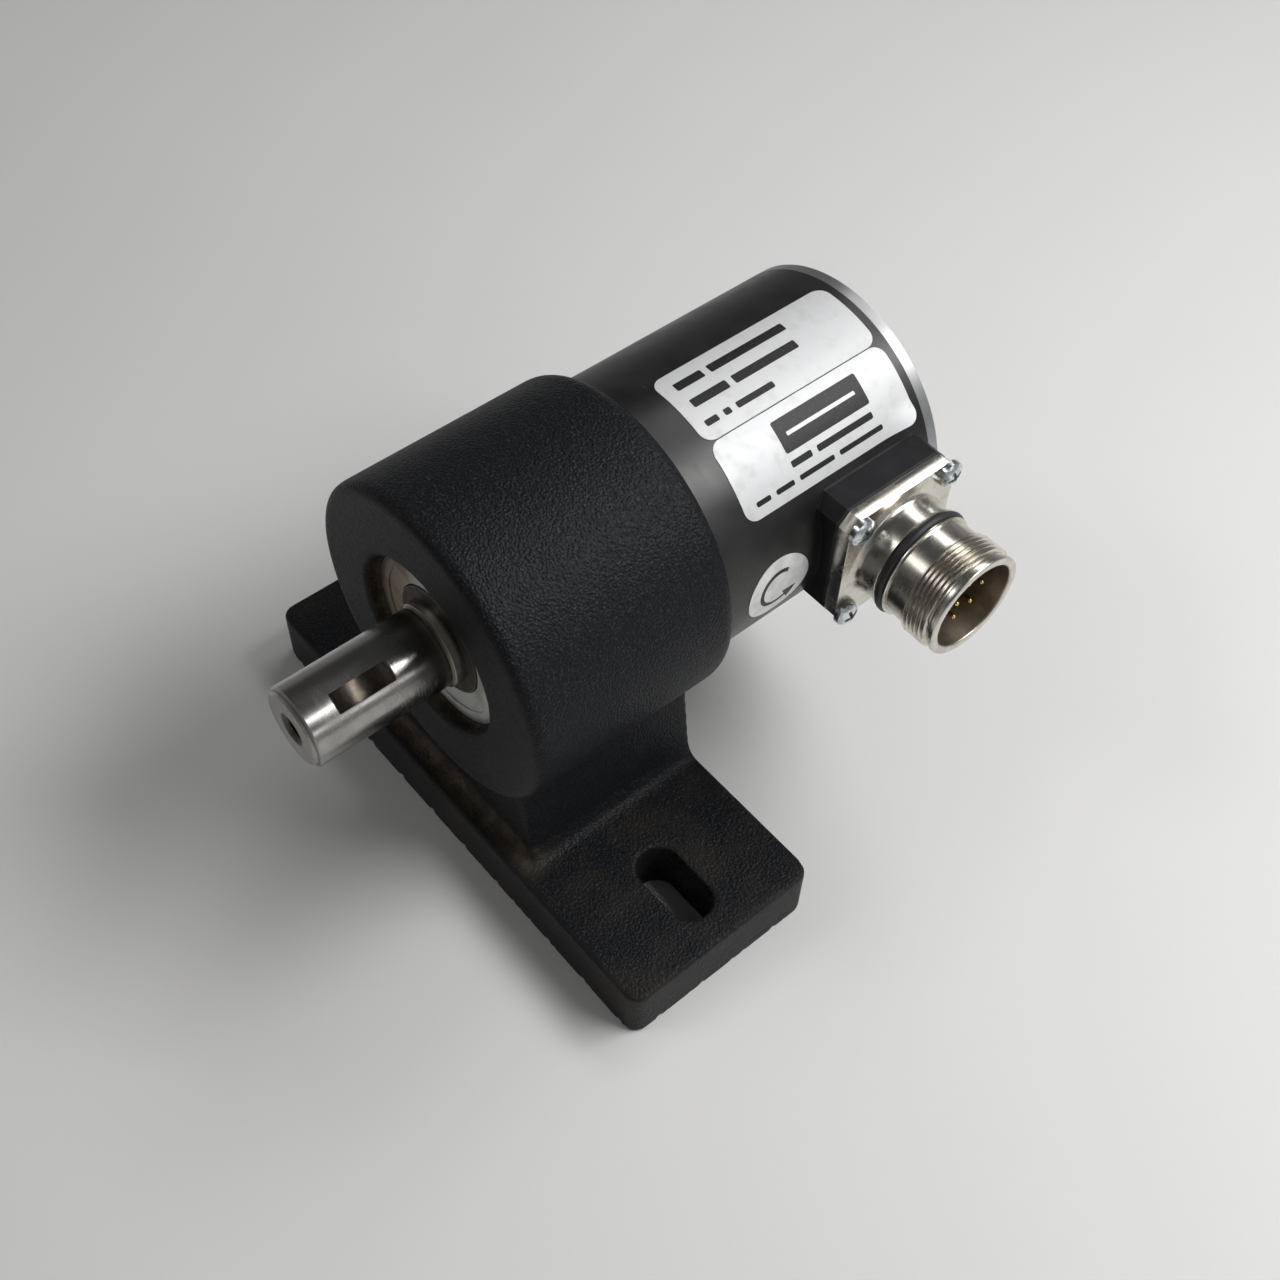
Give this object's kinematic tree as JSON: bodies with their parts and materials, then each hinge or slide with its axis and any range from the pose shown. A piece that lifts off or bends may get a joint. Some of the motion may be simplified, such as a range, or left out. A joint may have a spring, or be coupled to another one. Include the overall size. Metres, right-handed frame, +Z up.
{
  "type": "rotary encoder",
  "caption": "Rotary encoder on a cast pedestal bearing block, with a keyed drive shaft, round black body and side-facing round threaded connector.",
  "frame": {"origin": "centre of the two foot slots, on the underside of the pedestal's foot", "axes": "-Y along the drive shaft towards its free end, +Z up from the foot, +X towards the connector"},
  "size_m": [0.12, 0.1285, 0.0935],
  "materials": {
    "painted_casting": "fine-textured black powder coat on a casting",
    "ground_steel": "ground, with light handling marks",
    "bearing_steel": "ground ring steel, light staining",
    "aged_bearing_steel": "oxidised ring face, brown film",
    "polished_balls": "polished",
    "cage_brass": "pressed sheet",
    "black_steel": "black oxide",
    "bare_aluminium": "machined",
    "spider_rubber": "moulded elastomer",
    "fitting_brass": "turned",
    "code_glass": "clear glass with a chrome pattern",
    "black_moulding": "moulded, matte",
    "lamp_lens": "clear epoxy lens",
    "board_laminate": "solder-resist green laminate",
    "wire_insulation": "pale insulation",
    "black_anodised": "satin black anodised, turned",
    "seal_rubber": "nitrile rubber",
    "end_disc_aluminium": "bare turned aluminium",
    "zinc_steel": "bright zinc plate, bluish",
    "nickel_plate": "nickel plate, warm and slightly dulled",
    "insert_plastic": "moulded insulator",
    "gold_contact": "gold plated",
    "silver_label": "silver-white printed film",
    "white_sticker": "white printed film"
  },
  "bodies": {
    "housing": {"pedestal_housing": "painted_casting", "front_bearing_outer_ring": "bearing_steel", "front_bearing_shields": "bearing_steel", "rear_bearing_outer_ring": "bearing_steel", "rear_bearing_shields": "bearing_steel", "housing_circlip": "black_steel", "body_set_screws": "black_steel", "encoder_flange": "bare_aluminium", "encoder_front_bearing_outer_ring": "bearing_steel", "encoder_rear_bearing_outer_ring": "bearing_steel", "encoder_bearing_spacer": "bearing_steel", "lamp_holder": "black_moulding", "lamp_led": "lamp_lens", "scanning_mask": "code_glass", "photo_sensor": "black_moulding", "circuit_board": "board_laminate", "board_components": "black_moulding", "board_posts": "fitting_brass", "cap_posts": "fitting_brass", "lead_wires": "wire_insulation", "body_tube": "black_anodised", "body_seal": "seal_rubber", "end_cap": "end_disc_aluminium", "end_cap_seal": "seal_rubber", "end_cap_screws": "zinc_steel", "adapter_block": "black_anodised", "adapter_gasket": "seal_rubber", "connector_gasket": "seal_rubber", "connector_shell": "nickel_plate", "connector_o_ring": "seal_rubber", "connector_insert": "insert_plastic", "contact_pins": "gold_contact", "flange_screws": "zinc_steel", "upper_label": "silver_label", "lower_label": "silver_label", "round_sticker": "white_sticker"},
    "rotor": {"drive_shaft": "ground_steel", "front_bearing_inner_ring": "aged_bearing_steel", "rear_bearing_inner_ring": "bearing_steel", "shaft_circlip": "black_steel", "coupling_drive_hub": "bare_aluminium", "coupling_spider": "spider_rubber", "coupling_encoder_hub": "bare_aluminium", "coupling_set_screws": "black_steel", "encoder_shaft": "ground_steel", "encoder_front_bearing_inner_ring": "bearing_steel", "encoder_rear_bearing_inner_ring": "bearing_steel", "disc_hub": "fitting_brass", "code_disc": "code_glass", "disc_clamp_nut": "fitting_brass"},
    "front_ball_set": {"front_bearing_balls": "polished_balls", "front_bearing_cage": "cage_brass"},
    "rear_ball_set": {"rear_bearing_balls": "polished_balls", "rear_bearing_cage": "cage_brass"},
    "encoder_front_ball_set": {"encoder_front_bearing_balls": "polished_balls", "encoder_front_bearing_cage": "cage_brass"},
    "encoder_rear_ball_set": {"encoder_rear_bearing_balls": "polished_balls", "encoder_rear_bearing_cage": "cage_brass"}
  },
  "joints": [
    {"name": "shaft_spin", "type": "hinge", "parent": "housing", "child": "rotor", "pos_m": [0, -0.0221, 0.061], "axis": [0, 1, 0], "continuous": true},
    {"name": "front_ball_set_spin", "type": "hinge", "parent": "housing", "child": "front_ball_set", "pos_m": [0, -0.0142, 0.061], "axis": [0, 1, 0], "continuous": true},
    {"name": "rear_ball_set_spin", "type": "hinge", "parent": "housing", "child": "rear_ball_set", "pos_m": [0, -0.0012, 0.061], "axis": [0, 1, 0], "continuous": true},
    {"name": "encoder_front_ball_set_spin", "type": "hinge", "parent": "housing", "child": "encoder_front_ball_set", "pos_m": [0, 0.0274, 0.061], "axis": [0, 1, 0], "continuous": true},
    {"name": "encoder_rear_ball_set_spin", "type": "hinge", "parent": "housing", "child": "encoder_rear_ball_set", "pos_m": [0, 0.0359, 0.061], "axis": [0, 1, 0], "continuous": true}
  ],
  "couplings": [
    {"joint": "front_ball_set_spin", "follows": "shaft_spin", "ratio": 0.4085},
    {"joint": "rear_ball_set_spin", "follows": "shaft_spin", "ratio": 0.4085},
    {"joint": "encoder_front_ball_set_spin", "follows": "shaft_spin", "ratio": 0.4172},
    {"joint": "encoder_rear_ball_set_spin", "follows": "shaft_spin", "ratio": 0.4172}
  ]
}
